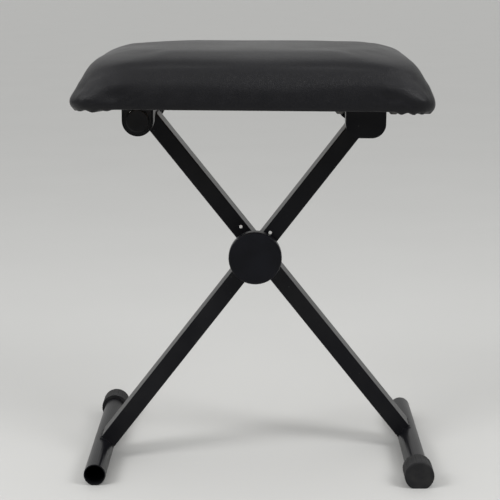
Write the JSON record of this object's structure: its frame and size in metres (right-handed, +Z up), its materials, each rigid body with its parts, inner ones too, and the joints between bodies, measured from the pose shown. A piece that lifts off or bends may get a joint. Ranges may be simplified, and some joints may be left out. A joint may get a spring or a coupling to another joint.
{
  "type": "piano bench",
  "caption": "Folding piano bench with a padded black seat on crossed steel legs, round tube feet and a large pull knob at the pivot.",
  "frame": {"origin": "on the floor, under the middle of the bench", "axes": "+Z up, +X across the seat in the plane of the crossed legs, -Y towards the side with the knob"},
  "size_m": [0.4115, 0.3167, 0.5011],
  "materials": {
    "black_paint": "satin powder coat",
    "vinyl": "embossed synthetic leather, satin",
    "plywood": "bare plywood",
    "foam": "open cell upholstery foam",
    "rubber": "matte moulded rubber",
    "black_plastic": "matte moulded plastic",
    "knob_plastic": "fine grained moulded plastic",
    "dark_steel": "black oxide",
    "bright_steel": "zinc plated"
  },
  "bodies": {
    "seat": {"seat_board": "plywood", "seat_foam": "foam", "seat_cover": "vinyl", "hinge_bracket_front": "black_paint", "hinge_bracket_rear": "black_paint", "hinge_bush_front": "black_plastic", "hinge_bush_rear": "black_plastic", "guide_bracket_front": "black_paint", "guide_bracket_rear": "black_paint", "hinge_screw_front_outer": "dark_steel", "hinge_screw_front_inner": "dark_steel", "hinge_screw_rear_outer": "dark_steel", "hinge_screw_rear_inner": "dark_steel", "guide_screw_front_outer": "dark_steel", "guide_screw_front_inner": "dark_steel", "guide_screw_rear_outer": "dark_steel", "guide_screw_rear_inner": "dark_steel"},
    "leg_a": {"leg_tube_a": "black_paint", "cross_tube_a": "black_paint", "cross_plug_a_front": "black_plastic", "cross_plug_a_rear": "black_plastic", "pivot_sleeve_a": "dark_steel", "stop_rivet_a": "bright_steel", "foot_tube_a": "black_paint", "foot_cap_a": "rubber", "pivot_shaft": "bright_steel", "pivot_washer": "black_plastic", "shaft_nut": "bright_steel", "knob_spring": "bright_steel"},
    "leg_b": {"leg_tube_b": "black_paint", "cross_tube_b": "black_paint", "cross_plug_b_front": "black_plastic", "cross_plug_b_rear": "black_plastic", "pivot_sleeve_b": "dark_steel", "stop_rivet_b": "bright_steel", "foot_tube_b": "black_paint", "foot_cap_b": "rubber", "clutch_ring_leg": "dark_steel"},
    "knob": {"knob": "knob_plastic", "clutch_ring_knob": "dark_steel"}
  },
  "joints": [
    {"name": "leg_a_hinge", "type": "hinge", "parent": "seat", "child": "leg_a", "pos_m": [-0.13068, 0, 0.41836], "axis": [0, 1, 0], "range_deg": [-45.4, 2.3]},
    {"name": "scissor", "type": "hinge", "parent": "leg_a", "child": "leg_b", "pos_m": [0, 0, 0.25206], "axis": [0, 1, 0], "range_deg": [-4.4, 91.7]},
    {"name": "knob_pull", "type": "slide", "parent": "leg_a", "child": "knob", "axis": [0, -1, 0], "range_m": [0, 0.003], "stiffness_N_per_m": 1500}
  ],
  "couplings": [
    {"joint": "leg_a_hinge", "follows": "scissor", "ratio": -0.494}
  ]
}
